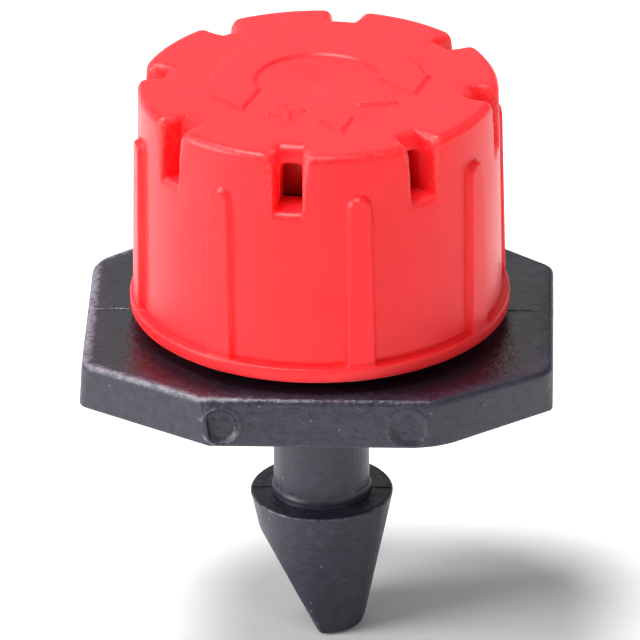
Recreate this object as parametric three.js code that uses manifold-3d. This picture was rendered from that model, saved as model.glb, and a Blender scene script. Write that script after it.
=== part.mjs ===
// Adjustable screw-cap drip emitter: a barbed octagon base, a metering pin and a slotted screw cap.
// Millimetres, +Z up towards the cap. The origin is on the barb's axis, at the flange underside.
// Turning the cap counterclockwise lifts it along the thread and draws the pin off its nozzle.
import * as THREE from "three";
import { mergeVertices } from "three/addons/utils/BufferGeometryUtils.js";
import Module from "manifold-3d";

const wasm = await Module();
wasm.setup();

// Running clearances.
const threadClearance = 0.15;   // gap between the two threads, radial and along the axis
const boreClearance = 0.2;      // pin shank inside the nozzle bore
const pinHeadGap = 0.1;         // pin head under the cap's ceiling
const overlapDepth = 0.4;       // how far joined shapes run into each other
const cutMargin = 1;            // how far a cutting shape stands past what it cuts

// Base: flange, threaded post, stem and barb.
const flangeWidth = 20.3;       // across X
const flangeDepth = 18.0;       // across Y
const flangeThickness = 2.1;
const cornerCutX = 5.2;         // corner cut measured along X
const frontCutY = 3.6;          // front corner cuts measured along Y
const backCutY = 4.4;           // back corner cuts measured along Y
const stemRadius = 2.05;
const stemLength = 6.5;         // flange underside to the barb's shoulder
const stemFootFlare = 0.15;     // small fillet where the stem meets the barb
const barbRadius = 3.1;         // at the shoulder
const barbLength = 6.3;
const boreRadius = 1.1;         // water way through the barb, stem and nozzle
const barbTipWall = 0.68;       // round the water way at the barb's end
const tipCutStart = 1.6;        // below the shoulder, where the slanting cut begins
const tipCutLean = 25;          // degrees from upright
const tipCutTurn = 15.5;        // degrees the cut faces from -X towards -Y
const postMajorRadius = 5.8;    // crest of the male thread
const postWall = 0.8;           // behind the male thread, round the well
const cupFloorAboveFlange = 1.2;
const nozzleWall = 1;
const nozzleBelowPostTop = 0.3; // nozzle mouth under the post's top

// The thread pair.
const threadPitch = 2;
const threadDepth = 0.5;
const threadFlankWidth = 0.25;  // axial run of one flank
const threadRunout = 0.5;       // plain post above the male thread
const threadTaperTurn = 0.125;  // share of a turn in which a ridge fades out
const femaleTurns = 2;

// Screw cap.
const capHeight = 10.23;        // rim to the top face
const capGap = 0.55;            // flange to rim, with the cap nearly closed
const capWall = 1.71;           // from the bore to the wall's top
const capDraft = 0.14;          // how much wider the wall is at its foot
const capEdgeRound = 0.45;
const capPlate = 1.13;          // thickness of the top
const plenumHeight = 2.25;      // ceiling above the top of the post
const rimBeadProud = 0.35;
const rimBeadHeight = 0.62;
const rimChamfer = 0.35;        // lead-in inside the rim
const slotCount = 8;
const ribTurn = 14.2;           // degrees from -Y towards +X of the rib under the pointer
const ribProud = 0.24;
const ribTopWidth = 0.9;
const ribFootWidth = 1.25;
const ribTopDrop = 1.88;        // cap top down to the rib's round end
const slotWidth = 1.15;
const slotSkin = 0.55;          // wall left between a slot and the cap's bore
const slotDrop = 2.63;          // cap top down to the slot's ledge
const windowWidth = 0.95;
const windowHeight = 1.95;
const plenumReach = 1.0;        // how far a window channel runs in under the ceiling

// Marks raised on the cap's top.
const markHeight = 0.12;
const arrowOuterRadius = 4.55;
const arrowInnerRadius = 2.65;
const arrowHalfSweep = 95;      // degrees each side of the back of the cap
const arrowHeadSweep = 26.5;    // degrees taken by an arrow head
const arrowHeadInner = 2.5;
const arrowHeadOuter = 4.8;
const arrowTipRadius = 4.36;
const signRadius = 3.37;        // plus and minus signs from the axis
const signTurn = 35.7;          // degrees from the pointer
const signLength = 1.75;
const signWidth = 0.3;
const pointerWidth = 1.6;
const pointerHeight = 1.42;
const pointerRadius = 3.83;     // base of the pointer from the axis

// Metering pin.
const pinLift = 0.45;           // pin shoulder above the nozzle mouth, as stored
const pinHeadPlay = 0.75;       // pin head inside the cap's bore, for the water
const pinNeckLength = 0.3;
const pinSeatWidth = 0.6;       // shoulder that covers the nozzle mouth
const pinShankReach = 2.2;      // shank below the shoulder, inside the nozzle
const pinTipChamfer = 0.3;

// How finely round shapes are cut.
const roundSegments = 48;
const turnSegments = 24;        // thread segments in one turn
const arcSteps = 4;             // segments in a small edge round

// Worked out from the sizes above.
const shoulderZ = -stemLength;
const barbEndZ = shoulderZ - barbLength;
const barbTipRadius = boreRadius + barbTipWall;
const nozzleRadius = boreRadius + nozzleWall;
const postMinorRadius = postMajorRadius - threadDepth;
const cupRadius = postMinorRadius - postWall;
const cupFloorZ = flangeThickness + cupFloorAboveFlange;
const capRimZ = flangeThickness + capGap;
const capTopZ = capRimZ + capHeight;
const ceilingZ = capTopZ - capPlate;
const postTopZ = ceilingZ - plenumHeight;
const nozzleTopZ = postTopZ - nozzleBelowPostTop;
const capBoreRadius = postMajorRadius + threadClearance;
const femaleCrestRadius = postMinorRadius + threadClearance;
const capTopRadius = capBoreRadius + capWall;
const capWallFootRadius = capTopRadius + capDraft;
const rimBeadRadius = capWallFootRadius + rimBeadProud;
const slotFloorRadius = capBoreRadius + slotSkin;
const flankAtCrest = threadFlankWidth * (1 - threadClearance / threadDepth);
const threadCrestWidth = threadPitch / 2 - flankAtCrest - threadClearance;
const threadFootWidth = threadCrestWidth + 2 * threadFlankWidth;
const maleStartZ = flangeThickness + threadFootWidth;
const maleTurns = (postTopZ - threadRunout - threadFootWidth / 2 - maleStartZ) / threadPitch;
const slotPitch = 360 / slotCount;
const slotTurn = ribTurn - slotPitch / 2;
const ledgeZ = capTopZ - slotDrop;
const pinHeadRadius = capBoreRadius - pinHeadPlay;
const pinNeckRadius = boreRadius + pinSeatWidth;
const pinShoulderZ = nozzleTopZ + pinLift;
const pinHeadTopZ = ceilingZ - pinHeadGap;

const red = new THREE.Color("#f4343c");
const charcoal = new THREE.Color("#3c3944");

function plastic(color, roughness) {
  return new THREE.MeshStandardMaterial({ color, roughness, metalness: 0 });
}

// A geometry as a manifold solid, and back again.
function toSolid(geometry) {
  const plain = geometry.clone();
  plain.deleteAttribute("normal");
  plain.deleteAttribute("uv");
  const welded = mergeVertices(plain, 1e-5);
  return new wasm.Manifold(new wasm.Mesh({
    numProp: 3,
    vertProperties: new Float32Array(welded.attributes.position.array),
    triVerts: new Uint32Array(welded.index.array),
  }));
}

function toGeometry(solid) {
  const mesh = solid.getMesh();
  const geometry = new THREE.BufferGeometry();
  geometry.setAttribute("position", new THREE.BufferAttribute(new Float32Array(mesh.vertProperties), 3));
  geometry.setIndex(new THREE.BufferAttribute(new Uint32Array(mesh.triVerts), 1));
  geometry.computeVertexNormals();
  return geometry;
}

function joined(geometries) {
  return geometries.map(toSolid).reduce((sum, next) => sum.add(next));
}

// Turns a profile of [radius, z] points about Z.
function turned(profile) {
  const points = profile.map(([radius, z]) => new THREE.Vector2(radius, z));
  return new THREE.LatheGeometry(points, roundSegments).rotateX(Math.PI / 2);
}

// Points on a quarter-like arc in a profile, angles in degrees from the radial direction.
function arcPoints(centreR, centreZ, radius, fromAngle, toAngle) {
  return Array.from({ length: arcSteps + 1 }, (_, i) => {
    const angle = THREE.MathUtils.degToRad(fromAngle + ((toAngle - fromAngle) * i) / arcSteps);
    return [centreR + radius * Math.cos(angle), centreZ + radius * Math.sin(angle)];
  });
}

function shapeFrom(points) {
  return new THREE.Shape(points.map(([x, y]) => new THREE.Vector2(x, y)));
}

function raised(shape, fromZ, toZ) {
  const options = { depth: toZ - fromZ, bevelEnabled: false, curveSegments: 24 };
  return new THREE.ExtrudeGeometry(shape, options).translate(0, 0, fromZ);
}

// A shape drawn in width and height, pushed out along -Y from one radius to another, then turned
// about Z by degrees from -Y towards +X.
function radial(shape, fromRadius, toRadius, degrees) {
  const options = { depth: toRadius - fromRadius, bevelEnabled: false, curveSegments: 8 };
  return new THREE.ExtrudeGeometry(shape, options)
    .translate(0, 0, fromRadius)
    .rotateX(Math.PI / 2)
    .rotateZ(THREE.MathUtils.degToRad(degrees));
}

// A right-hand helical ridge: a long box whose length is wound round the axis. Its foot is on
// footRadius, its crest on crestRadius, and both ends taper back to the foot.
function threadRidge(footRadius, crestRadius, startZ, turns) {
  const count = Math.round(turns * turnSegments);
  const geometry = new THREE.BoxGeometry(1, 1, 1, count, 1, 1);
  const position = geometry.attributes.position;
  const sunk = Math.sign(footRadius - crestRadius) * overlapDepth;
  const sunkWidth = threadFootWidth + (2 * threadFlankWidth * overlapDepth) / threadDepth;
  for (let i = 0; i < position.count; i++) {
    const along = position.getX(i) + 0.5;
    const isCrest = position.getZ(i) < 0 === crestRadius < footRadius;
    const endTaper = Math.min(1, (Math.min(along, 1 - along) * turns) / threadTaperTurn);
    const halfWidth = isCrest ? threadCrestWidth / 2 : sunkWidth / 2;
    const reach = footRadius + (crestRadius - footRadius) * endTaper;
    const radius = isCrest ? reach : footRadius + sunk;
    const angle = 2 * Math.PI * along * turns;
    const z = startZ + along * turns * threadPitch + Math.sign(position.getY(i)) * halfWidth;
    position.setXYZ(i, radius * Math.cos(angle), radius * Math.sin(angle), z);
  }
  return geometry;
}

function flangePlate() {
  const x = flangeWidth / 2;
  const y = flangeDepth / 2;
  const corners = [
    [-x + cornerCutX, -y], [x - cornerCutX, -y], [x, -y + frontCutY], [x, y - backCutY],
    [x - cornerCutX, y], [-x + cornerCutX, y], [-x, y - backCutY], [-x, -y + frontCutY],
  ];
  return raised(shapeFrom(corners), 0, flangeThickness);
}

// Barb, stem, threaded cup and nozzle are one turned shape round the water way.
function baseCore() {
  return turned([
    [boreRadius, barbEndZ],
    [barbTipRadius, barbEndZ],
    [barbRadius, shoulderZ],
    [stemRadius + stemFootFlare, shoulderZ],
    [stemRadius, shoulderZ + 2 * stemFootFlare],
    [stemRadius, flangeThickness / 2],
    [postMinorRadius, flangeThickness / 2],
    [postMinorRadius, postTopZ],
    [cupRadius, postTopZ],
    [cupRadius, cupFloorZ],
    [nozzleRadius, cupFloorZ],
    [nozzleRadius, nozzleTopZ],
    [boreRadius, nozzleTopZ],
    [boreRadius, barbEndZ],
  ]);
}

// The block that slants the barb's tip, so that it pierces a pipe wall.
function tipCutter() {
  const size = 2 * barbLength;
  const lean = THREE.MathUtils.degToRad(tipCutLean);
  const startZ = shoulderZ - tipCutStart;
  const startRadius = barbRadius - ((barbRadius - barbTipRadius) * tipCutStart) / barbLength;
  return new THREE.BoxGeometry(size, size, 2 * size)
    .translate(-size / 2, 0, -size)
    .rotateY(-lean)
    .translate(-startRadius, 0, startZ)
    .rotateZ(THREE.MathUtils.degToRad(tipCutTurn));
}

function makeBase() {
  const ridge = threadRidge(postMinorRadius, postMajorRadius, maleStartZ, maleTurns);
  const solid = joined([flangePlate(), baseCore(), ridge]).subtract(toSolid(tipCutter()));
  return toGeometry(solid);
}

function capShell() {
  const beadMidZ = capRimZ + rimBeadHeight / 2;
  return turned([
    [0, ceilingZ],
    [capBoreRadius, ceilingZ],
    [capBoreRadius, capRimZ + rimChamfer],
    [capBoreRadius + rimChamfer, capRimZ],
    [rimBeadRadius - rimBeadHeight / 4, capRimZ],
    ...arcPoints(rimBeadRadius - rimBeadHeight / 2, beadMidZ, rimBeadHeight / 2, -60, 60),
    [capWallFootRadius, capRimZ + rimBeadHeight],
    ...arcPoints(capTopRadius - capEdgeRound, capTopZ - capEdgeRound, capEdgeRound, 0, 90),
    [0, capTopZ],
  ]);
}

function capRib(degrees) {
  const footZ = capRimZ + rimBeadHeight / 2;
  const topRadius = ribTopWidth / 2;
  const roundZ = capTopZ - ribTopDrop - topRadius;
  const shape = new THREE.Shape();
  shape.moveTo(-ribFootWidth / 2, footZ);
  shape.lineTo(ribFootWidth / 2, footZ);
  shape.lineTo(topRadius, roundZ);
  shape.absarc(0, roundZ, topRadius, 0, Math.PI, false);
  shape.closePath();
  const crestRadius = capTopRadius + capDraft / 2 + ribProud;
  return radial(shape, capTopRadius - overlapDepth, crestRadius, degrees);
}

function capSlot(degrees) {
  const half = slotWidth / 2;
  const topZ = capTopZ + cutMargin;
  const shape = shapeFrom([[-half, ledgeZ], [half, ledgeZ], [half, topZ], [-half, topZ]]);
  return radial(shape, slotFloorRadius, rimBeadRadius + cutMargin, degrees);
}

function capWindow(degrees) {
  const half = windowWidth / 2;
  const springZ = ledgeZ + windowHeight - half;
  const shape = new THREE.Shape();
  shape.moveTo(-half, ledgeZ);
  shape.lineTo(half, ledgeZ);
  shape.lineTo(half, springZ);
  shape.absarc(0, springZ, half, 0, Math.PI, false);
  shape.closePath();
  return radial(shape, capBoreRadius - plenumReach, slotFloorRadius + overlapDepth, degrees);
}

// Where a mark stands on the cap: degrees from the pointer, which faces -Y before it is turned.
function markPoint(radius, degrees) {
  const angle = THREE.MathUtils.degToRad(degrees - 90);
  return [radius * Math.cos(angle), radius * Math.sin(angle)];
}

function arrowShape() {
  const end = 180 - arrowHalfSweep;
  const shape = new THREE.Shape();
  const angleOf = (degrees) => THREE.MathUtils.degToRad(degrees - 90);
  shape.moveTo(...markPoint(arrowOuterRadius, end));
  shape.absarc(0, 0, arrowOuterRadius, angleOf(end), angleOf(360 - end), false);
  shape.lineTo(...markPoint(arrowHeadOuter, -end));
  shape.lineTo(...markPoint(arrowTipRadius, -end + arrowHeadSweep));
  shape.lineTo(...markPoint(arrowHeadInner, -end));
  shape.lineTo(...markPoint(arrowInnerRadius, -end));
  shape.absarc(0, 0, arrowInnerRadius, angleOf(360 - end), angleOf(end), true);
  shape.lineTo(...markPoint(arrowHeadInner, end));
  shape.lineTo(...markPoint(arrowTipRadius, end - arrowHeadSweep));
  shape.lineTo(...markPoint(arrowHeadOuter, end));
  shape.closePath();
  return shape;
}

function barShape(centreX, centreY, lengthX, lengthY) {
  const x = lengthX / 2;
  const y = lengthY / 2;
  return shapeFrom([[-x, -y], [x, -y], [x, y], [-x, y]].map(([dx, dy]) => [centreX + dx, centreY + dy]));
}

function capMarks() {
  const [plusX, plusY] = markPoint(signRadius, -signTurn);
  const [minusX, minusY] = markPoint(signRadius, signTurn);
  const pointer = shapeFrom([
    [-pointerWidth / 2, -pointerRadius], [0, -pointerRadius - pointerHeight],
    [pointerWidth / 2, -pointerRadius],
  ]);
  const shapes = [
    arrowShape(),
    barShape(plusX, plusY, signLength, signWidth),
    barShape(plusX, plusY, signWidth, signLength),
    barShape(minusX, minusY, signLength, signWidth),
    pointer,
  ];
  const turn = THREE.MathUtils.degToRad(ribTurn);
  return shapes.map((shape) => raised(shape, capTopZ - overlapDepth, capTopZ + markHeight).rotateZ(turn));
}

// The female ridge runs in the male thread's space, half a pitch from its ridge.
function makeCap() {
  const femaleStartZ = maleStartZ + threadPitch / 2;
  const ridge = threadRidge(capBoreRadius, femaleCrestRadius, femaleStartZ, femaleTurns);
  const turns = Array.from({ length: slotCount }, (_, i) => i * slotPitch);
  const ribs = turns.map((turn) => capRib(ribTurn + turn));
  const cutters = turns.flatMap((turn) => [capSlot(slotTurn + turn), capWindow(slotTurn + turn)]);
  const solid = joined([capShell(), ridge, ...ribs, ...capMarks()]).subtract(joined(cutters));
  return toGeometry(solid);
}

// The shank steers the pin in the nozzle bore, and the shoulder above it shuts the nozzle mouth.
function makePin() {
  const shankRadius = boreRadius - boreClearance;
  const tipZ = pinShoulderZ - pinShankReach;
  return turned([
    [0, tipZ],
    [shankRadius - pinTipChamfer, tipZ],
    [shankRadius, tipZ + pinTipChamfer],
    [shankRadius, pinShoulderZ],
    [pinNeckRadius, pinShoulderZ],
    [pinNeckRadius, pinShoulderZ + pinNeckLength],
    [pinHeadRadius, pinShoulderZ + pinNeckLength],
    [pinHeadRadius, pinHeadTopZ],
    [0, pinHeadTopZ],
  ]);
}

function named(name, geometry, material) {
  const mesh = new THREE.Mesh(geometry, material);
  mesh.name = name;
  return mesh;
}

const emitter = new THREE.Group();
emitter.add(
  named("barbed_base", makeBase(), plastic(charcoal, 0.45)),
  named("metering_pin", makePin(), plastic(red, 0.4)),
  named("screw_cap", makeCap(), plastic(red, 0.4)),
);

export default emitter;
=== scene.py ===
import math
import bpy
import numpy as np
from mathutils import Matrix, Vector


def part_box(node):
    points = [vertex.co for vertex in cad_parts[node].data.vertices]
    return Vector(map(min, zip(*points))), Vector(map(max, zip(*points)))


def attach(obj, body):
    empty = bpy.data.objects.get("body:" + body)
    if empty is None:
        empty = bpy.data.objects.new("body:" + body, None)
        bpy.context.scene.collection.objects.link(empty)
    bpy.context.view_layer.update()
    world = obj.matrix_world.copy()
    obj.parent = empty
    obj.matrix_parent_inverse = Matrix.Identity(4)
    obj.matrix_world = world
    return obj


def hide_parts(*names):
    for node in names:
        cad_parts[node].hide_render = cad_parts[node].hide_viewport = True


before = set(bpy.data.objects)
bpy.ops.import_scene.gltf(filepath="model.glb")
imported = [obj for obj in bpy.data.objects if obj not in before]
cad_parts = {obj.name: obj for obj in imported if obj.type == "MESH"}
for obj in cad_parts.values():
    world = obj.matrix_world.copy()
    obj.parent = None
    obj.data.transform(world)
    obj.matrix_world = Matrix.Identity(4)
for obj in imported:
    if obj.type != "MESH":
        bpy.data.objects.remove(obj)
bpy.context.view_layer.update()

mm = 0.001
rad = math.pi / 180

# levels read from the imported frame, in millimetres
capLow, capHigh = (np.array(corner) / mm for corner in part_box("screw_cap"))
baseLow, baseHigh = (np.array(corner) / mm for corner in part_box("barbed_base"))
pinLow, pinHigh = (np.array(corner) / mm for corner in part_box("metering_pin"))
rimZ = capLow[2]
rimRadius = (capHigh[0] - capLow[0]) / 2
print("frame: cap rim at", round(rimZ, 2), "mm, flange", np.round(baseHigh - baseLow, 2), "mm")


def fade(value, start, end):  # 0 before start, 1 after end, smooth between
    t = np.clip((value - start) / (end - start), 0, 1)
    return t * t * (3 - 2 * t)


def arcOf(centreR, centreZ, radius, fromDegrees, toDegrees, count):  # points on an arc of a profile
    a = np.linspace(fromDegrees, toDegrees, count) * rad
    return np.stack([centreR + radius * np.cos(a), centreZ + radius * np.sin(a)], -1)


def lineOf(start, end, count):  # points along a straight stretch, both ends included
    return np.linspace(start, end, count)


def near(r, z, atR, atZ, wideR, wideZ):  # 1 at one place of a profile, falling off round it
    return np.exp(-((r - atR) / wideR) ** 2 - ((z - atZ) / wideZ) ** 2)


def placeRing(r, z, turn):  # turn is measured from -Y towards +X
    return np.stack([r * np.sin(turn), -r * np.cos(turn), z], -1)


def skin(name, rings, loop=False, skip=None, extra=None):
    # rings[row, column] go round the axis; each row is joined to the next, and columns wrap round
    rows, columns = rings.shape[:2]
    index = np.arange(rows * columns).reshape(rows, columns)
    below = np.roll(index, -1, axis=0) if loop else index[1:]
    here = index if loop else index[:-1]
    quads = np.stack([here, below, np.roll(below, -1, 1), np.roll(here, -1, 1)], -1)
    keep = np.ones(quads.shape[:2], bool)
    if skip is not None:
        keep[skip] = False
    quads = quads[keep]
    if extra is not None:
        quads = np.concatenate([quads, extra])
    points = rings.reshape(-1, 3)
    faces = quads.tolist()
    if not loop:  # both ends close on a point in the middle of their ring
        poles = np.stack([rings[0].mean(0), rings[-1].mean(0)])
        first, last = len(points), len(points) + 1
        points = np.concatenate([points, poles])
        start, stop = index[0], index[-1]
        faces += np.stack([np.full(columns, first), start, np.roll(start, -1)], -1).tolist()
        faces += np.stack([np.full(columns, last), np.roll(stop, -1), stop], -1).tolist()
    mesh = bpy.data.meshes.new(name)
    mesh.from_pydata((points * mm).tolist(), [], faces)
    mesh.update()
    return addPiece(name, mesh)


def addPiece(name, mesh):  # smooth, but for edges sharper than 38 degrees
    mesh.polygons.foreach_set("use_smooth", np.ones(len(mesh.polygons), bool))
    mesh.set_sharp_from_angle(angle=38 * rad)
    piece = bpy.data.objects.new(name, mesh)
    bpy.context.scene.collection.objects.link(piece)
    return piece


def setAttribute(piece, name, values):  # one number for each ring point; end points get none
    data = np.zeros(len(piece.data.vertices), np.float32)
    data[:values.size] = np.clip(values, 0, 1).ravel()
    piece.data.attributes.new(name, "FLOAT", "POINT").data.foreach_set("value", data)


cap = {
    "top": capHigh[2] - 0.12,   # the flat top; the marks stand proud of it
    "mark": 0.12,
    "wallTop": 7.66, "wallFoot": 7.8,
    "edgeRound": 0.36,
    "plate": 1.0,
    "bore": 5.95,
    "ribTurn": 14.2,            # degrees from -Y of the rib under the pointer
    "ribTopWidth": 1.0, "ribFootWidth": 1.25, "ribTopDrop": 1.88,
    "ribCrestTop": 7.96, "ribCrestFoot": 8.09, "ribEdge": 0.09,
    "slotFloor": 6.65, "slotDrop": 2.63,
    "slotFloorRound": 0.5, "slotLipRound": 0.3,
    "beadRound": 0.12, "slotTopRound": 0.5,
    "slotSideRound": 0.28, "slotCornerRound": 0.09,
    "windowHeight": 1.95,
    "beadTop": 3.3,
    "windowFoot": 4.5, "windowHead": 4.15,  # half widths in degrees
    "ribRadius": 7.9,           # where the ribs' widths are measured
}
halfSector = 22.5   # degrees from a slot's middle to a rib's middle
windowRows = 7      # rows of points from a window's head to its foot
windowColumns = 4   # columns of points on each side of its middle
# degrees from a slot's middle at which a stretch of columns starts or ends
step = {"window": 4.0, "cornerStart": 4.15, "cornerEnd": 4.6, "side": 4.65, "lipStart": 4.72,
        "lipEnd": 6.15, "ribStart": 17.2, "ribEdge": 18.5, "ribReach": 13.5}


def capColumns():
    # angles in one half sector from a slot's middle (0) to a rib's middle (22.5): the slot floor,
    # its rounded side, even steps fine enough for the marks, and a cluster on the rib's edge
    slotPart = [0, 1.0, 2.0, 3.0, 4.0, 4.15, 4.3, 4.45, 4.6, 4.72, 4.85, 5.05, 5.3, 5.65, 6.15]
    evenPart = np.arange(6.75, 16.9, 0.84)
    ribPart = [17.2, 17.6, 17.9, 18.2, 18.5, 18.8, 19.1, 19.4, 19.8, 20.4, 21.1, 21.8, 22.5]
    half = np.concatenate([slotPart, evenPart, ribPart])
    return np.concatenate([-half[:0:-1], half[:-1]])  # -22.5 up to just under 22.5


marks = {
    "turn": 12.6,  # degrees from -Y of the pointer
    "bandInner": 2.65, "bandOuter": 4.55, "headBase": 85, "headEnd": 58.5,
    "headInner": 2.5, "headOuter": 4.8, "headTip": 4.36,
    "signs": 3.37, "signTurn": 35.7, "bar": 1.74,
    "pointer": 3.83, "pointerEnd": 5.25,
}


def markInside(x, y):
    # how far inside the raised marks' outlines each point lies, and how far it is from the thin
    # tool mark. Coordinates are turned so that the pointer looks along -Y
    m = marks
    r = np.hypot(x, y)
    turn = np.degrees(np.arctan2(x, -y))
    inside = np.minimum(m["bandOuter"] - r, r - m["bandInner"])
    inside = np.minimum(inside, (np.abs(turn) - m["headBase"] + 4) * rad * r)
    polar = lambda q, degrees: np.array([q * math.sin(degrees * rad), -q * math.cos(degrees * rad)])
    for side in (-1, 1):
        head = [polar(m["headInner"], side * m["headBase"]),
                polar(m["headOuter"], side * m["headBase"]),
                polar(m["headTip"], side * m["headEnd"])]
        inside = np.maximum(inside, polygonInside(x, y, head))
    for side, bars in ((-1, ((m["bar"], 0.32), (0.28, m["bar"]))), (1, ((m["bar"], 0.34),))):
        cx, cy = polar(m["signs"], side * m["signTurn"])
        for w, h in bars:
            inside = np.maximum(inside, np.minimum(w / 2 - abs(x - cx), h / 2 - abs(y - cy)))
    scar = [(-3.95, 0.9), (-3.45, 0.25), (-3.3, -0.75)]  # a thin tool mark across the band
    line = np.minimum(*(segmentGap(x, y, a, b) for a, b in zip(scar, scar[1:])))
    corners = ((-0.8, -m["pointer"]), (0.8, -m["pointer"]), (0, -m["pointerEnd"]))
    pointer = [np.array(corner) for corner in corners]
    inside = np.maximum(inside, polygonInside(x, y, pointer))
    return inside, line


def segmentGap(x, y, start, end):  # distance from each point to a straight piece
    ax, ay = end[0] - start[0], end[1] - start[1]
    share = np.clip(((x - start[0]) * ax + (y - start[1]) * ay) / (ax * ax + ay * ay), 0, 1)
    return np.hypot(x - start[0] - share * ax, y - start[1] - share * ay)


def polygonInside(x, y, corners):
    # how far inside a convex outline each point lies: the least distance to its sides
    centre = sum(corners) / len(corners)
    best = np.full(x.shape, 99.0)
    for here, there in zip(corners, corners[1:] + corners[:1]):
        along = (there - here) / np.hypot(*(there - here))
        normal = np.array([-along[1], along[0]])
        if normal @ (centre - here) < 0:
            normal = -normal
        best = np.minimum(best, (x - here[0]) * normal[0] + (y - here[1]) * normal[1])
    return best


def capProfiles():
    # two profiles with the same rows: one through plain wall, one through the middle of a slot
    top, ledge = cap["top"], cap["top"] - cap["slotDrop"]
    er, fr, lr = cap["edgeRound"], cap["slotFloorRound"], cap["slotLipRound"]
    floor = cap["slotFloor"]
    plate = np.concatenate([
        lineOf((0.25, top), (2.25, top), 7),
        lineOf((2.33, top), (5.05, top), 42),
        lineOf((5.25, top), (floor - fr, top), 4),
    ])
    wallAt = lambda z: cap["wallTop"] + (cap["wallFoot"] - cap["wallTop"]) * (top - er - z) / 8.6
    plainZ = np.array([12.0, 11.7, 11.4, 11.18, 11.08, 11.02, 10.96, 10.9, 10.82, 10.74, 10.66,
                       10.56, 10.42, 10.2, ledge - lr])
    plain = np.concatenate([
        lineOf((floor - fr + 0.2, top), (cap["wallTop"] - er, top), 5),
        arcOf(cap["wallTop"] - er, top - er, er, 75, 0, 6),
        np.stack([wallAt(plainZ), plainZ], -1),
    ])
    windowZ = np.linspace(ledge + cap["windowHeight"] - 0.3, ledge + 0.03, windowRows)
    slotted = np.concatenate([
        arcOf(floor - fr, top - fr, fr, 74, 0, 5),
        [[floor, ledge + cap["windowHeight"] + 0.12]],
        np.stack([np.full(windowRows, floor), windowZ], -1),
        [[floor + 0.02, ledge]],
        lineOf((floor + 0.2, ledge), (wallAt(ledge) - lr - 0.05, ledge), 5),
        arcOf(wallAt(ledge) - lr, ledge - lr, lr, 80, 0, 7),
    ])
    wallFoot, bead, lip = cap["wallFoot"], cap["beadTop"], cap["beadRound"]
    foot = bead + 0.16
    wallZ = np.linspace(9.7, foot, 16)
    wall = np.stack([wallAt(wallZ), wallZ], -1)
    lower = np.concatenate([
        # the wall ends in a sharp turn, then a narrow groove, then the bead
        [[wallFoot - 0.02, foot - 0.03], [wallFoot - 0.06, foot - 0.08]],
        [[wallFoot - 0.05, bead + 0.03], [wallFoot, bead]],
        lineOf((wallFoot + 0.05, bead - 0.01), (rimRadius - lip, bead - 0.03), 2),
        arcOf(rimRadius - lip, bead - 0.03 - lip, lip, 70, 0, 5),
        lineOf((rimRadius, bead - 0.25), (rimRadius, rimZ + 0.16), 3),
        arcOf(rimRadius - 0.1, rimZ + 0.1, 0.1, -5, -90, 5),
        lineOf((rimRadius - 0.6, rimZ), (cap["bore"] + 0.35, rimZ), 3),
    ])
    bore = lineOf((cap["bore"], rimZ + 0.35), (cap["bore"], ledge - 0.4), 8)
    innerTop = top - cap["plate"]
    innerWindowZ = np.linspace(ledge + 0.06, innerTop - 0.1, windowRows)
    inner = np.concatenate([
        np.stack([np.full(windowRows, cap["bore"]), innerWindowZ], -1),
        [[cap["bore"] - 0.1, innerTop]],
        lineOf((5.0, innerTop), (0.4, innerTop), 4),
    ])
    # first rows of the wall, the window, the bore and the window's inner side
    boreRow = len(plate) + len(plain) + len(wall) + len(lower)
    firstRows = len(plate), len(plate) + 6, boreRow, boreRow + len(bore)
    full = np.concatenate([plate, plain, wall, lower, bore, inner])
    cut = np.concatenate([plate, slotted, wall, lower, bore, inner])
    return full, cut, firstRows


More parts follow.
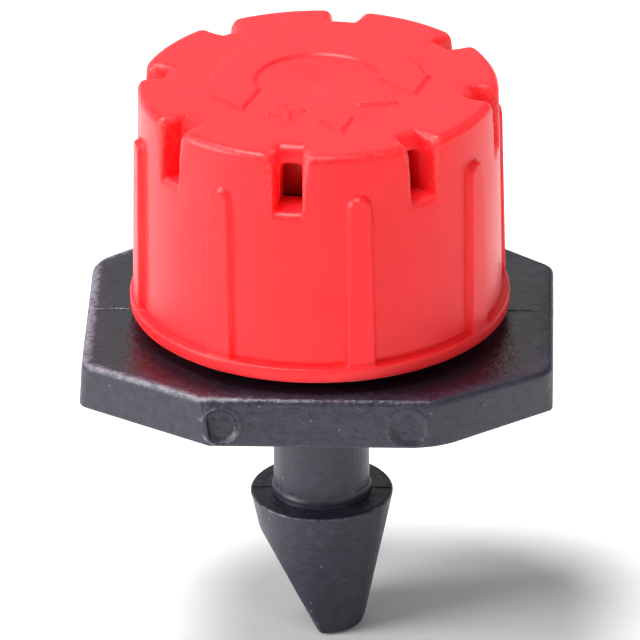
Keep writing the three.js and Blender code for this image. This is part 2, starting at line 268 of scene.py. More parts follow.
def makeCapShell():
    # r and z of each ring point start on the plain profile and move towards the slot profile by
    # a rounded step: an arc over the slot's edge, a straight side, and an arc into its floor
    sector = capColumns()
    full, cut, (wallRow, windowRow, boreRow, innerRow) = capProfiles()
    row = np.arange(len(full))
    off = np.abs(sector)[None, :]
    lipStart, lipEnd = step["lipStart"], step["lipEnd"]
    away = cut - full
    depth = np.hypot(away[:, 0], away[:, 1])[:, None]
    # the slots' edges are rounder towards the top
    level = fade(full[:, 1:], 11.5, 12.5) * (full[:, :1] > 5.0)
    sideRound = cap["slotSideRound"] + (cap["slotTopRound"] - cap["slotSideRound"]) * level
    scale = np.minimum(1, depth / (sideRound + cap["slotCornerRound"]))
    outer, inner = sideRound * scale, cap["slotCornerRound"] * scale
    u = np.clip((off - lipStart) / (lipEnd - lipStart), 0, 1)  # across the rounded edge
    v = (step["cornerEnd"] - off) / (step["cornerEnd"] - step["cornerStart"])
    v = np.clip(v, 0, 1)  # across the floor's corner
    dropOut = outer * (1 - np.sqrt(1 - (1 - u) ** 2))
    dropIn = depth - inner * (1 - np.sqrt(1 - (1 - v) ** 2))
    drop = np.where(off > step["side"], dropOut, dropIn)
    share = drop / np.maximum(depth, 1e-9)
    r = full[:, :1] + away[:, :1] * share
    z = full[:, 1:] + away[:, 1:] * share
    # the window's round head
    window = step["window"]
    head = 0.3 * np.sqrt(np.clip(1 - np.abs(sector / window) ** 3, 0, 1))
    z[windowRow] += np.where(np.abs(sector) <= window, head, 0)

    # ribs stand on the wall: their edges follow the taper because the columns are bent with it
    ribOff = halfSector - off  # degrees from the rib's middle
    roundZ = cap["top"] - cap["ribTopDrop"] - cap["ribTopWidth"] / 2
    down = np.clip((roundZ - z) / (roundZ - cap["beadTop"]), 0, 1)
    halfWide = (cap["ribTopWidth"] + (cap["ribFootWidth"] - cap["ribTopWidth"]) * down) / 2
    halfDegrees = halfWide / cap["ribRadius"] / rad
    nominal, reach = halfSector - step["ribEdge"], halfSector - step["ribReach"]
    bend = np.where(ribOff < nominal, ribOff / nominal * halfDegrees,
                    halfDegrees + (ribOff - nominal) * (reach - halfDegrees) / (reach - nominal))
    bend = np.where(ribOff < reach, bend, ribOff)
    onWall = ((row >= wallRow) & (row < boreRow))[:, None]
    newOff = np.where(onWall, halfSector - bend, off)
    # the windows narrow a little towards their heads
    rise = np.zeros(len(full))
    inWindow = np.zeros(len(full), bool)
    for start, low, high in ((windowRow, 1, 0), (innerRow, 0, 1)):
        rise[start:start + windowRows] = np.linspace(low, high, windowRows)
        inWindow[start:start + windowRows] = True
    wide = (cap["windowFoot"] + (cap["windowHead"] - cap["windowFoot"]) * rise)[:, None]
    narrowed = np.where(off < window, off / window * wide,
                        wide + (off - window) / (lipStart - window) * (lipStart - wide))
    newOff = np.where(inWindow[:, None] & (off < lipStart), narrowed, newOff)
    # towards the top the lips are wider, and the plain wall between them is narrower
    ribStart, wideEnd = step["ribStart"], lipEnd + 1.9 * level
    widened = np.where(off < lipEnd,
                       lipStart + (off - lipStart) * (wideEnd - lipStart) / (lipEnd - lipStart),
                       wideEnd + (off - lipEnd) * (ribStart - wideEnd) / (ribStart - lipEnd))
    newOff = np.where((off > lipStart) & (off < ribStart) & (level > 0), widened, newOff)
    angle = np.where(sector[None, :] < 0, -newOff, newOff)
    across = halfWide - bend * rad * cap["ribRadius"]  # mm inside the rib's sides
    above = np.maximum(z - roundZ, 0)
    roundEnd = halfWide - np.hypot(halfWide - across, above)
    insideRib = np.where(z > roundZ, roundEnd, across)
    crest = cap["ribCrestTop"] + (cap["ribCrestFoot"] - cap["ribCrestTop"]) * down
    proud = np.clip(crest - r, 0, 0.3) * fade(insideRib, -cap["ribEdge"], cap["ribEdge"])
    r = r + np.where(onWall & (z < cap["top"] - cap["edgeRound"]), proud, 0)

    # all eight sectors, then the marks and the small sink in the middle of the top
    slotTurn = cap["ribTurn"] - halfSector
    turns = np.concatenate([(angle + slotTurn + 2 * halfSector * k) * rad for k in range(8)], 1)
    r, z = np.tile(r, 8), np.tile(z, 8)
    rings = placeRing(r, z, turns)
    t = marks["turn"] * rad
    onTop = row < wallRow
    x, y = rings[onTop, :, 0], rings[onTop, :, 1]
    fromAxis = np.hypot(x, y)
    sink = 0.05 * np.exp(-(fromAxis / 0.7) ** 2) + 0.05 * fade(-fromAxis, -3.2, -1.0)
    inside, line = markInside(x * math.cos(t) + y * math.sin(t), -x * math.sin(t) + y * math.cos(t))
    raised = fade(inside, -0.05, 0.1) * 0.88 + 0.12 * fade(-line, -0.1, 0)
    rings[onTop, :, 2] += cap["mark"] * raised - sink

    # windows: their cells leave both walls, and a tunnel joins the two openings
    columns = len(sector)
    first, last = columns // 2 - windowColumns, columns // 2 + windowColumns
    index = np.arange(rings.shape[0] * rings.shape[1]).reshape(rings.shape[:2])
    skip = np.zeros((rings.shape[0] - 1, rings.shape[1]), bool)
    tunnels = []
    for k in range(8):
        c = np.arange(first, last + 1) + k * columns
        skip[windowRow:windowRow + windowRows - 1, c[:-1]] = True
        skip[innerRow:innerRow + windowRows - 1, c[:-1]] = True
        out = index[windowRow:windowRow + windowRows][:, c]
        far = index[innerRow:innerRow + windowRows][::-1][:, c]
        loopOut, loopFar = (np.concatenate([g[0, :-1], g[:-1, -1], g[-1, :0:-1], g[:0:-1, 0]])
                            for g in (out, far))
        tunnels.append(np.stack([loopOut, loopFar, np.roll(loopFar, -1), np.roll(loopOut, -1)], -1))
    shell = skin("cap_shell", rings, skip=skip, extra=np.concatenate(tunnels))
    # paler: the slots' lips and floor edges, the cap's upper edge, the raised marks' edges and the
    # bead's lower edge. The bead's edge is pale flash; the others are partly worn pale by rubbing and
    # partly a painted highlight where the rounded edges catch the light
    lip = np.tile(np.exp(-((off - 5.3) / 0.9) ** 2) * fade(depth, 0.1, 0.5), 8)
    top, fullR, fullZ, cutR, cutZ = cap["top"], full[:, 0], full[:, 1], cut[:, 0], cut[:, 1]
    edge = near(fullR, fullZ, cap["wallTop"] - 0.1, top - 0.1, 0.25, 0.3)
    floorEdge = near(cutR, cutZ, 6.3, top - 0.15, 0.25, 0.2)
    floorEdge += near(cutR, cutZ, 7.5, top - cap["slotDrop"] - 0.1, 0.3, 0.25)
    inSlot = np.tile(fade(-off, -5.5, -4.5), 8)
    foot = np.exp(-((fullZ - rimZ - 0.03) / 0.06) ** 2) * (fullR > cap["wallFoot"] + 0.1)
    wearAndSheen = np.maximum(lip, np.maximum(edge[:, None] * 0.8, floorEdge[:, None] * inSlot))
    wearAndSheen = np.maximum(wearAndSheen, foot[:, None])
    # the raised marks' edges: partly worn pale by rubbing, partly a painted highlight
    wearAndSheen[onTop] = np.maximum(wearAndSheen[onTop], 0.75 * np.exp(-((inside - 0.05) / 0.07) ** 2))
    setAttribute(shell, "wearAndSheen", wearAndSheen)
    return shell


thread = {"pitch": 2.0, "flank": 0.25, "crest": 0.675, "depth": 0.5, "round": 0.06}


def makeRidge(name, foot, sign, startZ, turns):
    # a section of ten points carried along a right-hand helix; both ends fade down to the foot.
    # sign is 1 where the ridge stands outwards and -1 where it stands inwards
    steps = int(turns * 96)
    along = np.linspace(0, 1, steps + 1)[:, None]
    c, f = thread["crest"] / 2, thread["crest"] / 2 + thread["flank"]
    e = thread["round"]
    across = np.array([-f, -f, -c - e / 2, -c, -c + e, c - e, c, c + e / 2, f, f])[None, :]
    d = thread["depth"]
    out = np.array([-0.3, 0, d - e, d - e / 4, d, d, d - e / 4, d - e, 0, -0.3])[None, :]
    taper = fade(np.minimum(along, 1 - along) * turns, 0, 0.14)
    r = foot + sign * np.where(out > 0, out * taper - 0.02 * (1 - taper), out)
    z = startZ + along * turns * thread["pitch"] + across
    turn = 2 * math.pi * along * turns
    rows = np.stack([r * np.cos(turn), r * np.sin(turn), z + 0 * r], -1)
    count = across.shape[1]
    index = np.arange(rows.shape[0] * count).reshape(-1, count)
    here, there = index[:-1], index[1:]
    quads = np.stack([here, np.roll(here, -1, 1), np.roll(there, -1, 1), there], -1).reshape(-1, 4)
    ends = [index[0][::-1].tolist(), index[-1].tolist()]
    if sign > 0:
        quads, ends = quads[:, ::-1], [e[::-1] for e in ends]
    mesh = bpy.data.meshes.new(name)
    mesh.from_pydata((rows.reshape(-1, 3) * mm).tolist(), [], quads.tolist() + ends)
    mesh.update()
    return addPiece(name, mesh)


pin = {"head": 5.2, "neck": 1.7, "shank": 0.9, "neckLength": 0.3, "shankReach": 2.2, "round": 0.12}


def makePin():
    # one profile turned about the axis, each outer corner an arc
    low, high, e = pinLow[2], pinHigh[2], pin["round"]
    shoulder = low + pin["shankReach"]
    neckTop = shoulder + pin["neckLength"]
    profile = np.concatenate([
        lineOf((0.4, high), (pin["head"] - e, high), 4),
        arcOf(pin["head"] - e, high - e, e, 75, 0, 5),
        lineOf((pin["head"], high - 0.4), (pin["head"], neckTop + 2 * e), 3),
        arcOf(pin["head"] - e, neckTop + e, e, 0, -90, 5),
        lineOf((pin["head"] - 0.6, neckTop), (pin["neck"] + e, neckTop), 3),
        arcOf(pin["neck"] + e, neckTop - e, e, 90, 180, 4)[1:],
        arcOf(pin["neck"] - e, shoulder + e, e, 0, -90, 5),
        lineOf((pin["neck"] - 0.4, shoulder), (pin["shank"] + 0.02, shoulder), 2),
        lineOf((pin["shank"], shoulder - 0.03), (pin["shank"], low + 0.4), 6),
        arcOf(pin["shank"] - 0.3, low + 0.3, 0.3, 0, -80, 6),
    ])
    turn = np.linspace(0, 2 * math.pi, 97)[None, :-1]
    rings = placeRing(profile[:, :1] + 0 * turn, profile[:, 1:] + 0 * turn, turn + 0 * profile[:, :1])
    return skin("pin_body", rings)


base = {
    "flange": 2.1,
    # x, y and round of each corner, from the front's left end round by the right
    "cornersTop": ((-4.85, -8.6, 0.4), (5.0, -8.76, 0.8), (10.02, -5.75, 1.5), (10.03, 4.45, 0.9),
                   (4.9, 8.95, 1), (-5.1, 8.95, 1), (-10.0, 4.8, 1.9), (-10.0, -5.4, 0.9)),
    "cornersLow": ((-4.5, -8.86, 0.3), (5.1, -8.98, 3.6), (10.0, -5.36, 0.3), (10.05, 4.5, 0.9),
                   (4.9, 9.0, 1), (-5.1, 9.0, 1), (-10.1, 4.8, 1.9), (-10.14, -5.2, 0.6)),
    "arcPoints": (8, 24, 8, 8, 8, 8, 8, 8), "frontPoints": 116,
    "edge": 0.26, "lowEdge": 0.12,
    "post": 5.3, "cup": 4.5, "cupFloor": 3.3, "postTop": 9.5,
    "nozzle": 2.1, "nozzleTop": 9.2, "bore": 1.1,
    "stem": 2.07, "shoulder": -6.5, "foot": 0.08,
    "barb": 3.1, "tip": 1.78,
    "cutStart": 1.6, "cutLean": 25, "cutTurn": 15.5,
    "ejector": 0.84, "ejectorX": (-3.98, 3.92), "ejectorZ": 0.9,
    "dish": (0.17, 0.1), "rim": (0.06, 0.045),  # of the left and the right ejector mark
    "frontY": -8.3, "frontX": (-4.6, 4.9),      # the front face lies beyond one, within the other
    "flash": 0.035,
    "weldZ": -8.05, "weldX": -0.1, "weldReach": 1.3, "weldHalf": 0.03, "weldWander": 0.3,
}


def flangeOutline(inset, up=0.0):
    # the octagon as straight sides and corner arcs, moved inwards by inset; the front side is
    # divided finely for the ejector marks, the left and right sides for the mould line. The sides
    # lean: up is 1 at the flange's top and 0 at its bottom
    low, top = (np.array(base[key]) for key in ("cornersLow", "cornersTop"))
    corner, cornerRound = (low + (top - low) * up)[:, :2], (low + (top - low) * up)[:, 2]
    following = np.roll(corner, -1, 0)
    along = (following - corner) / np.linalg.norm(following - corner, axis=1)[:, None]
    normal = np.stack([along[:, 1], -along[:, 0]], -1)      # outwards
    before = np.roll(normal, 1, 0)
    # a corner moves inwards along both its sides' normals
    cosHalf = np.sqrt((1 + (normal * before).sum(1)) / 2)[:, None]
    middle = (normal + before) / np.linalg.norm(normal + before, axis=1)[:, None]
    moved = corner - middle * inset / cosHalf
    radius = np.maximum(cornerRound - inset, 0.05)[:, None]
    tanHalf = np.sqrt(1 - cosHalf ** 2) / cosHalf
    alongBefore = np.roll(along, 1, 0)
    enter, leave = moved - alongBefore * radius * tanHalf, moved + along * radius * tanHalf
    centre = moved - middle * radius / cosHalf
    even = np.linspace(0, 1, 18)[1:-1]
    fine = np.linspace(0, 1, base["frontPoints"] + 2)[1:-1]
    swing = np.linspace(-1, 1, 43)[1:-1]
    sides = [fine, even, None, even, np.linspace(0, 1, 24)[1:-1], even, None, even]
    points = []
    for k in range(8):
        a0 = math.atan2(before[k][1], before[k][0])
        a1 = a0 + math.acos(float(np.clip(before[k] @ normal[k], -1, 1)))
        a = np.linspace(a0, a1, base["arcPoints"][k])[:, None]
        points.append(centre[k] + radius[k] * np.concatenate([np.cos(a), np.sin(a)], 1))
        start, end = leave[k], enter[(k + 1) % 8]
        share = sides[k]
        if share is None:  # points crowd round y = 0, where the mould line runs
            zero = -start[1] / (end[1] - start[1])
            reach = np.where(swing < 0, zero, 1 - zero)
            share = zero + np.sign(swing) * np.abs(swing) ** 2.2 * reach
        points.append(start + (end - start) * share[:, None])
    return np.concatenate(points)


def makeBaseBody():
    # a point of the surface is (column, row): each row is a closed ring at one level, a circle
    # (r sin turn, -r cos turn, z) on the post, stem and barb, or the octagon moved inwards on the
    # flange. The flange's top and underside go evenly from a circle to the octagon
    outline = flangeOutline(0)
    turn = np.arctan2(outline[:, 0], -outline[:, 1])
    t = base["flange"]
    ring = lambda r, z: placeRing(r + 0 * turn, z + 0 * turn, turn)
    heights = np.ones((len(turn), 1))
    plate = lambda inset, z: np.concatenate([flangeOutline(inset, z / t), heights * z], 1)
    rows = []

    def add(profile):
        rows.extend(ring(r, z) for r, z in profile)

    add([(base["bore"], base["nozzleTop"] - 0.15), (base["bore"] + 0.15, base["nozzleTop"])])
    add(arcOf(base["nozzle"] - 0.1, base["nozzleTop"] - 0.1, 0.1, 90, 0, 4))
    add(lineOf((base["nozzle"], 8.5), (base["nozzle"], base["cupFloor"] + 0.2), 5))
    add([(base["nozzle"] + 0.2, base["cupFloor"]), (base["cup"] - 0.2, base["cupFloor"])])
    add(lineOf((base["cup"], base["cupFloor"] + 0.2), (base["cup"], base["postTop"] - 0.3), 5))
    add([(base["cup"] + 0.1, base["postTop"]), (base["post"] - 0.2, base["postTop"])])
    add(arcOf(base["post"] - 0.2, base["postTop"] - 0.2, 0.2, 60, 0, 4))
    add(lineOf((base["post"], 8.8), (base["post"], t + 0.25), 8))
    add(arcOf(base["post"] + 0.2, t + 0.2, 0.2, 195, 265, 4))
    # flange top: from the post's circle out to the octagon
    e, le = base["edge"], base["lowEdge"]
    innerRing = ring(base["post"] + 0.35, t)
    edgeRing = plate(e, t)
    for share in np.linspace(0, 1, 16) ** 0.8:
        rows.append(innerRing + (edgeRing - innerRing) * share)
    for a in np.linspace(15, 90, 6) * rad:
        rows.append(plate(e * (1 - math.sin(a)), t - e * (1 - math.cos(a))))
    firstSide = len(rows)
    for z in np.linspace(t - e - 0.04, le + 0.04, 38):
        rows.append(plate(0, z))
    lastSide = len(rows)
    for a in np.linspace(0, 90, 5) * rad:
        rows.append(plate(le * (1 - math.cos(a)), le * (1 - math.sin(a))))
    lowRing, stemRing = plate(le, 0.0), ring(base["stem"] + 0.15, 0.0)
    for share in np.linspace(0, 1, 14)[1:]:
        rows.append(lowRing + (stemRing - lowRing) * share)
    # stem, its flared foot, and the barb's flat shoulder
    top = base["shoulder"]
    add([(base["stem"] + 0.04, -0.04)])
    add(lineOf((base["stem"], -0.16), (base["stem"] + 0.01, top + 0.5), 10))
    add(arcOf(base["stem"] + 0.31, top + 0.45, 0.3, 188, 225, 5))
    add([(base["stem"] + base["foot"], top + 0.12), (base["stem"] + base["foot"] + 0.02, top + 0.01)])
    add(lineOf((base["stem"] + 0.3, top), (base["barb"] - 0.22, top), 5))
    add(arcOf(base["barb"] - 0.13, top - 0.13, 0.13, 80, 15, 5))
    rows.extend(barbRows(turn))
    rings = np.stack(rows)
    rings = pressMarks(rings, firstSide, lastSide)
    body = skin("base_body", flashLine(rings), loop=True)
    # paler along the flange's upper edge, most on its left and front left: worn by rubbing, with a
    # painted highlight that is strongest on the left, where the key lamp lights the edge
    x, y, z = rings[..., 0], rings[..., 1], rings[..., 2]
    inside = polygonInside(x, y, [np.array(corner[:2]) for corner in base["cornersTop"]])
    below = np.abs(t - z)
    side = fade(-x, -4, 7) * 0.65 + 0.35
    nearEdge = np.exp(-(np.maximum(inside, 0) / (0.12 + 0.35 * side)) ** 2 - (below / 0.16) ** 2)
    r = np.hypot(x, y)
    # a painted highlight along the front of the barb's shoulder edge, where the lamps glint on it
    shoulder = near(r, z, base["barb"], base["shoulder"], 0.1, 0.12)
    # a painted highlight on the left side of the left ejector mark's rim, lit from the left
    left = base["ejectorX"][0]
    d = np.hypot(x - left, z - base["ejectorZ"])
    rimHighlight = np.exp(-((d - base["ejector"]) / 0.07) ** 2) * fade(left - x, -0.5, 0.6)
    rimHighlight *= y < base["frontY"]
    rubAndSheen = np.maximum(nearEdge * side, np.maximum(0.75 * shoulder * (y < 0), 0.8 * rimHighlight))
    setAttribute(body, "wearAndSheen", rubAndSheen)
    setAttribute(body, "gloss", (below < 0.05) * fade(inside, 0.1, 1.2))
    front = (y < base["frontY"]) & (z > 0) & (z < t)
    front &= (x > base["frontX"][0]) & (x < base["frontX"][1])
    setAttribute(body, "wrinkle", np.maximum(front * fade(inside, -1, 0.3), 0.35 * (r > 2.5)))
    return body


def barbRows(turn):
    # the cone runs down each column to where the slanting plane crosses it, then follows the
    # plane, to the flat end or to where the plane breaks into the bore
    top, end = base["shoulder"], baseLow[2]
    slope = (base["barb"] - base["tip"]) / (top - end)
    cone = lambda z: base["barb"] - slope * (top - z)
    lean, face = base["cutLean"] * rad, base["cutTurn"] * rad
    nz = -math.sin(lean)
    nx, ny = -math.cos(lean) * math.cos(face), -math.cos(lean) * math.sin(face)
    startZ = top - base["cutStart"]
    q0 = math.hypot(nx, ny)
    level = q0 * cone(startZ) + nz * startZ
    q = nx * np.sin(turn) - ny * np.cos(turn)
    safe = np.maximum(q, 1e-6)
    plane = lambda z: np.where(q > 1e-6, (level - nz * z) / safe, 99.0)
    # where cone and plane meet, and where plane and bore meet
    meet = (level - q * (base["barb"] - slope * top)) / (nz + slope * q)
    meet = np.where((q > 1e-6) & (meet > end + 0.3), np.minimum(meet, startZ), end + 0.3)
    thin = base["bore"] + 0.06
    bottom = (level - thin * q) / nz
    bottom = np.where((q > 1e-6) & (bottom > end), np.minimum(bottom, meet - 0.1), end)

    def outside(z):
        # the smaller of cone and plane, with the edge between them rounded more towards the tip
        a, b = cone(z), plane(z)
        reach = 0.06 + 0.5 * fade(-z, 10.3, -end)
        mix = np.clip(0.5 + 0.5 * (b - a) / reach, 0, 1)
        return b + (a - b) * mix - reach * mix * (1 - mix)

    rows = []
    for share in np.linspace(0.03, 1, 22):
        z = (top - 0.13) + (meet - top + 0.13) * share
        rows.append(placeRing(outside(z), z, turn))
    for share in np.linspace(0, 1, 22)[1:-1]:
        z = meet + (bottom - meet) * share
        rows.append(placeRing(np.maximum(outside(z), base["bore"] + 0.03), z, turn))
    edge = np.maximum(outside(bottom), base["bore"] + 0.03)
    e = np.minimum(0.34, (edge - base["bore"]) / 1.8)
    for a in (20, 45, 70, 90):
        z = bottom + e * (1 - math.sin(a * rad)) * 0.8
        rows.append(placeRing(edge - e * (1 - math.cos(a * rad)), z, turn))
    inner = base["bore"] + e * 0.5
    rows.append(placeRing(inner, bottom, turn))
    bore, boreTop = base["bore"] + 0 * turn, base["nozzleTop"] - 0.15
    rows.append(placeRing(bore, bottom + e * 0.5, turn))
    for share in np.linspace(0.08, 0.97, 10):
        rows.append(placeRing(bore, bottom + (boreTop - bottom) * share, turn))
    return rows


def pressMarks(rings, firstSide, lastSide):
    # two round ejector marks on the front face: the left one dished inside a raised rim, the
    # right one a thin ring
    x, z = rings[..., 0], rings[..., 2]
    row = np.arange(len(rings))[:, None]
    column = np.arange(rings.shape[1])[None, :]
    frontStart = base["arcPoints"][0]
    frontEnd = frontStart + base["frontPoints"] + base["arcPoints"][1]
    front = (row >= firstSide) & (row < lastSide) & (column >= frontStart) & (column < frontEnd)
    shift = np.zeros(x.shape)
    for middle, dish, rim in zip(base["ejectorX"], base["dish"], base["rim"]):
        d = np.hypot(x - middle, z - base["ejectorZ"])
        shift += dish * fade(-d, -base["ejector"], -base["ejector"] + 0.3)
        shift -= rim * np.exp(-((d - base["ejector"]) / 0.08) ** 2)
    shift += 0.012 * np.sin(x * 1.3 + 0.6) * np.sin(z * 2.2)
    rings[..., 1] += np.where(front, shift, 0)
    return rings


def flashLine(rings):
    # the mould's halves meet on the plane y = 0 and leave a thin raised line on what faces up
    # and outwards
    r = np.hypot(rings[..., 0], rings[..., 1])
    z = rings[..., 2]
    line = base["flash"] * np.exp(-(rings[..., 1] / 0.045) ** 2)
    onTop = (np.abs(z - base["flange"]) < 0.01) & (r > base["post"] + 0.5)
    onShoulder = (np.abs(z - base["shoulder"]) < 0.02) & (r > base["stem"] + 0.2)
    rings[..., 2] += np.where(onTop | onShoulder, line, 0)
    onBarb = (z < base["shoulder"] - 0.1) & (r > base["bore"] + 0.3)
    grow = np.where(onBarb, line, 0) / np.maximum(r, 1)
    rings[..., 0] *= 1 + grow
    return rings


def linear(hexColour):  # sRGB hex to linear
    c = [int(hexColour[i:i + 2], 16) / 255 for i in (1, 3, 5)]
    return [v / 12.92 if v <= 0.04045 else ((v + 0.055) / 1.055) ** 2.4 for v in c] + [1.0]


def grey(level):
    return level, level, level, 1


def node(tree, kind, settings=None, inputs=None, stops=None):
    # adds one node. Settings are its own properties, an input is a value or the socket that feeds
    # it, and stops are the places and colours of a colour ramp
    made = tree.nodes.new("ShaderNode" + kind)
    for key, value in (settings or {}).items():
        setattr(made, key, value)
    for key, value in (inputs or {}).items():
        if isinstance(value, bpy.types.NodeSocket):
            tree.links.new(value, made.inputs[key])
        else:
            made.inputs[key].default_value = value
    if stops:
        for element, (place, colour) in zip(made.color_ramp.elements, stops):
            element.position, element.color = place, colour
    return made


def newMaterial(name):  # an empty material, its tree, and the piece's own coordinates in metres
    material = bpy.data.materials.new(name)
    material.use_nodes = True
    tree = material.node_tree
    tree.nodes.clear()
    return material, tree, node(tree, "TexCoord").outputs["Object"]


perMm = 1 / mm  # a pattern's scale is its number of cells to the millimetre times this
times, plus, minus = ({"operation": name} for name in ("MULTIPLY", "ADD", "SUBTRACT"))


def capPlastic():
    # moulded polypropylene, red: translucent, so thin edges and slots glow; satin skin with a
    # fine spark-eroded grain, a few pits and specks, and paler lips and edges, partly worn pale by
    # rubbing and partly a painted highlight
    material, tree, where = newMaterial("moulded polypropylene, red")
    wearAndSheen = node(tree, "Attribute", {"attribute_name": "wearAndSheen"}).outputs["Fac"]
    cloud, grain, chips = (
        node(tree, "TexNoise", None, {"Vector": where, "Scale": cells * perMm, "Detail": detail})
        .outputs["Fac"] for cells, detail in ((0.35, 3.0), (9, 3.0), (5.2, 4.0)))
    speck = node(tree, "TexVoronoi", None, {"Vector": where, "Scale": 2.6 * perMm})
    speck = speck.outputs["Distance"]
    pits = node(tree, "ValToRGB", None, {"Fac": speck}, ((0.03, grey(1)), (0.13, grey(0))))
    pale = node(tree, "ValToRGB", None, {"Fac": speck}, ((0.03, grey(0.14)), (0.12, grey(0))))
    # paler pink along the lips and edges: partly worn by rubbing, partly a painted highlight
    rubAndSheen = node(tree, "Math", times, {0: wearAndSheen, 1: chips}).outputs[0]
    rubAndSheen = node(tree, "ValToRGB", None, {"Fac": rubAndSheen}, ((0.3, grey(0)), (0.75, grey(0.3))))
    colour = node(tree, "ValToRGB", None, {"Fac": cloud},
                  ((0.3, linear("#f4262d")), (0.7, linear("#ff2a34")))).outputs["Color"]
    for share, over in ((rubAndSheen, "#ff9a92"), (pale, "#ff8a84")):
        colour = node(tree, "Mix", {"data_type": "RGBA"},
                      {"Factor": share.outputs["Color"], 6: colour, 7: linear(over)}).outputs[2]
    rough = node(tree, "MapRange", None, {"Value": cloud, "To Min": 0.26, "To Max": 0.42})
    bumpFine = node(tree, "Bump", None, {"Height": grain, "Strength": 0.4, "Distance": 0.03 * mm})
    bumpPits = node(tree, "Bump", None,
                    {"Height": pits.outputs["Color"], "Normal": bumpFine.outputs["Normal"],
                     "Strength": 0.5, "Distance": 0.03 * mm})
    shader = node(tree, "BsdfPrincipled", None,
                  {"IOR": 1.49, "Specular IOR Level": 0.3, "Subsurface Weight": 1.0,
                   "Subsurface Scale": 0.8 * mm, "Subsurface Radius": (1.0, 0.1, 0.1),
                   "Subsurface Anisotropy": 0.3, "Base Color": colour,
                   "Roughness": rough.outputs["Result"], "Normal": bumpPits.outputs["Normal"]})
    node(tree, "OutputMaterial", None, {"Surface": shader.outputs["BSDF"]})
    return material


def basePlastic():
    # moulded polyethylene, charcoal with a violet cast: glossy on the flange's polished top, satin
    # and faintly wrinkled where the mould's front face was rough, paler along its upper edges, partly
    # worn by rubbing and partly a painted highlight
    material, tree, where = newMaterial("moulded polyethylene, charcoal")
    wearAndSheen, gloss, wrinkle = (node(tree, "Attribute", {"attribute_name": key}).outputs["Fac"]
                            for key in ("wearAndSheen", "gloss", "wrinkle"))
    # drag lines left by the mould as it opened are noise drawn out along z
    drawn = node(tree, "Mapping", None, {"Vector": where, "Scale": (1, 1, 0.06)}).outputs["Vector"]
    cloud, grain, chips, wander, drag, folds, mottle = (
        node(tree, "TexNoise", None,
             {"Vector": vector, "Scale": cells * perMm, "Detail": detail, **more}).outputs["Fac"]
        for vector, cells, detail, more in (
            (where, 0.5, 4.0, {}), (where, 7, 4.0, {}), (where, 4.2, 5.0, {}),
            (where, 0.9, 3.0, {}), (drawn, 1.8, 4.0, {}), (where, 1.3, 5.0, {"Distortion": 1.5}),
            (where, 2.6, 6.0, {"Roughness": 0.65})))
    speck = node(tree, "TexVoronoi", None, {"Vector": where, "Scale": 1.5 * perMm})
    specks = node(tree, "ValToRGB", None, {"Fac": speck.outputs["Distance"]},
                  ((0.03, grey(1)), (0.1, grey(0)))).outputs["Color"]
    # paler along the edges: partly worn by rubbing, partly a painted highlight
    rubAndSheen = node(tree, "Math", times, {0: wearAndSheen, 1: chips}).outputs[0]
    rubAndSheen = node(tree, "ValToRGB", None, {"Fac": rubAndSheen},
                  ((0.2, grey(0)), (0.5, grey(0.9)))).outputs["Color"]
    polished = node(tree, "Math", times, {0: gloss, 1: 0.75}).outputs[0]
    # a weld line across the barb's front, where two flows of plastic met
    axes = node(tree, "SeparateXYZ", None, {"Vector": where}).outputs
    wander = node(tree, "Math", times, {0: wander, 1: base["weldWander"] * mm}).outputs[0]
    height = node(tree, "Math", plus, {0: axes["Z"], 1: wander}).outputs[0]
    compare = {"operation": "COMPARE"}
    onLine = node(tree, "Math", compare,
                  {0: height, 1: base["weldZ"] * mm, 2: base["weldHalf"] * mm}).outputs[0]
    within = node(tree, "Math", compare,
                  {0: axes["X"], 1: base["weldX"] * mm, 2: base["weldReach"] * mm}).outputs[0]
    inFront = node(tree, "Math", {"operation": "LESS_THAN"}, {0: axes["Y"], 1: 0.0}).outputs[0]
    weld = node(tree, "Math", times, {0: onLine, 1: within}).outputs[0]
    weld = node(tree, "Math", times, {0: weld, 1: inFront}).outputs[0]
    weld = node(tree, "Math", times, {0: weld, 1: 0.7}).outputs[0]
    colour = node(tree, "ValToRGB", None, {"Fac": mottle},
                  ((0.32, linear("#1c1a26")), (0.68, linear("#302d3d")))).outputs["Color"]
    for share, over in ((specks, "#6c6974"), (polished, "#0e0b10"), (rubAndSheen, "#76747f"),
                        (weld, "#0a080c")):
        colour = node(tree, "Mix", {"data_type": "RGBA"},
                      {"Factor": share, 6: colour, 7: linear(over)}).outputs[2]
    # rougher with the mottle, the clouds and the drag lines, smoother where polished
    satin = node(tree, "MapRange", None, {"Value": mottle, "To Min": 0.26, "To Max": 0.52})
    satin = satin.outputs["Result"]
    drag = node(tree, "Math", minus, {0: drag, 1: 0.5}).outputs[0]
    for operation, source, amount in ((minus, gloss, 0.22), (plus, cloud, 0.06), (plus, drag, 0.35)):
        part = node(tree, "Math", times, {0: source, 1: amount}).outputs[0]
        satin = node(tree, "Math", operation, {0: satin, 1: part}).outputs[0]
    bumpFine = node(tree, "Bump", None, {"Height": grain, "Strength": 0.6, "Distance": 0.04 * mm})
    folds = node(tree, "Math", times, {0: folds, 1: wrinkle}).outputs[0]
    bumpFolds = node(tree, "Bump", None, {"Height": folds, "Normal": bumpFine.outputs["Normal"],
                                          "Strength": 1.0, "Distance": 0.1 * mm})
    shader = node(tree, "BsdfPrincipled", None, {"IOR": 1.5, "Base Color": colour, "Roughness": satin,
                                                 "Normal": bumpFolds.outputs["Normal"]})
    node(tree, "OutputMaterial", None, {"Surface": shader.outputs["BSDF"]})
    return material


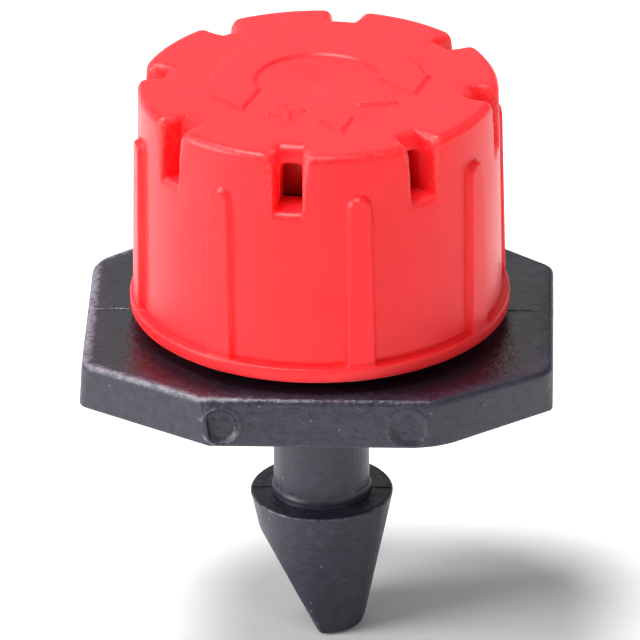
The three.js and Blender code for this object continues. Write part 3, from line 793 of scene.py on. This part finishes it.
def floorPaper():
    # matt white paper board: pale and even, with hardly any tooth
    material, tree, where = newMaterial("matt paper board, white")
    tooth = node(tree, "TexNoise", None, {"Vector": where, "Scale": 0.9 * perMm}).outputs["Fac"]
    colour = node(tree, "ValToRGB", None, {"Fac": tooth},
                  ((0.2, linear("#f6f6f6")), (0.8, linear("#fbfbfb")))).outputs["Color"]
    shader = node(tree, "BsdfPrincipled", None,
                  {"Roughness": 0.9, "IOR": 1.3, "Base Color": colour})
    node(tree, "OutputMaterial", None, {"Surface": shader.outputs["BSDF"]})
    return material


red, black = capPlastic(), basePlastic()
footWidth = thread["crest"] + 2 * thread["flank"]
maleStart = base["flange"] + footWidth
maleTurns = (base["postTop"] - 0.5 - footWidth / 2 - maleStart) / thread["pitch"]
pieces = [
    (makeCapShell(), "cap", "screw_cap", "cap_plastic", red),
    (makeRidge("cap_thread", cap["bore"], -1, maleStart + thread["pitch"] / 2, 2.0),
     "cap", "screw_cap", "cap_plastic", red),
    (makePin(), "pin", "metering_pin", "cap_plastic", red),
    (makeBaseBody(), "base", "barbed_base", "base_plastic", black),
    (makeRidge("post_thread", base["post"], 1, maleStart, maleTurns),
     "base", "barbed_base", "base_plastic", black),
]
for piece, body, cadNode, slotName, material in pieces:
    piece.data.materials.append(material)
    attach(piece, body)
    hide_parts(cadNode)
    print("piece", piece.name, len(piece.data.polygons), "faces")


studio = {
    "floorHalf": 2.0,
    "sky": ("#ffffff", 0.27),
    # name: place in metres, size in metres, watts
    "key": ((-0.44, -0.16, 0.17), 0.3, 2.5),
    "over": ((-0.16, 0.0, 0.58), 0.32, 4.6),
    "fill": ((0.36, -0.4, 0.2), 0.3, 0.36),
    "back": ((-0.1, 0.6, 0.34), 0.5, 0.24),
}


def makeFloor():
    half, z = studio["floorHalf"], baseLow[2] * mm - 0.0001
    mesh = bpy.data.meshes.new("floor")
    corners = [(-half, -half, z), (half, -half, z), (half, half, z), (-half, half, z)]
    mesh.from_pydata(corners, [], [(0, 1, 2, 3)])
    floor = bpy.data.objects.new("floor", mesh)
    bpy.context.scene.collection.objects.link(floor)
    mesh.materials.append(floorPaper())


def makeLights():
    world = bpy.data.worlds.new("studio")
    bpy.context.scene.world = world
    world.use_nodes = True
    sky = world.node_tree.nodes["Background"]
    sky.inputs["Color"].default_value = linear(studio["sky"][0])
    sky.inputs["Strength"].default_value = studio["sky"][1]
    for name in ("key", "over", "fill", "back"):
        place, size, watts = studio[name]
        lamp = bpy.data.lights.new(name, "AREA")
        lamp.shape, lamp.size, lamp.energy = "DISK", size, watts
        holder = bpy.data.objects.new(name, lamp)
        bpy.context.scene.collection.objects.link(holder)
        holder.location = place
        holder.rotation_euler = (-Vector(place)).to_track_quat("-Z", "Y").to_euler()


def makeCamera():
    # a long lens a third of a metre away, looking down at 26 degrees
    spot = {"place": (9.0, -299.265, 150.2575), "down": 26.406, "turn": -1.7247, "roll": -0.5103,
            "lens": 437.2}
    down, turn, roll = (spot[key] * rad for key in ("down", "turn", "roll"))
    ahead = Vector((math.sin(turn) * math.cos(down), math.cos(turn) * math.cos(down), -math.sin(down)))
    right = Vector((math.cos(turn), -math.sin(turn), 0))
    up = right.cross(ahead)
    rolledRight = math.cos(roll) * right + math.sin(roll) * up
    rolledUp = math.cos(roll) * up - math.sin(roll) * right
    eye = bpy.data.cameras.new("camera")
    eye.lens, eye.sensor_width, eye.clip_start, eye.clip_end = spot["lens"], 36.0, 0.01, 20.0
    holder = bpy.data.objects.new("camera", eye)
    bpy.context.scene.collection.objects.link(holder)
    turned = Matrix((rolledRight, rolledUp, -ahead)).transposed().to_4x4()
    holder.matrix_world = Matrix.Translation(Vector(spot["place"]) * mm) @ turned
    bpy.context.scene.camera = holder


makeFloor()
makeLights()
makeCamera()
bpy.context.scene.view_settings.view_transform = "Standard"
print("stage: floor, four lamps and camera are placed")
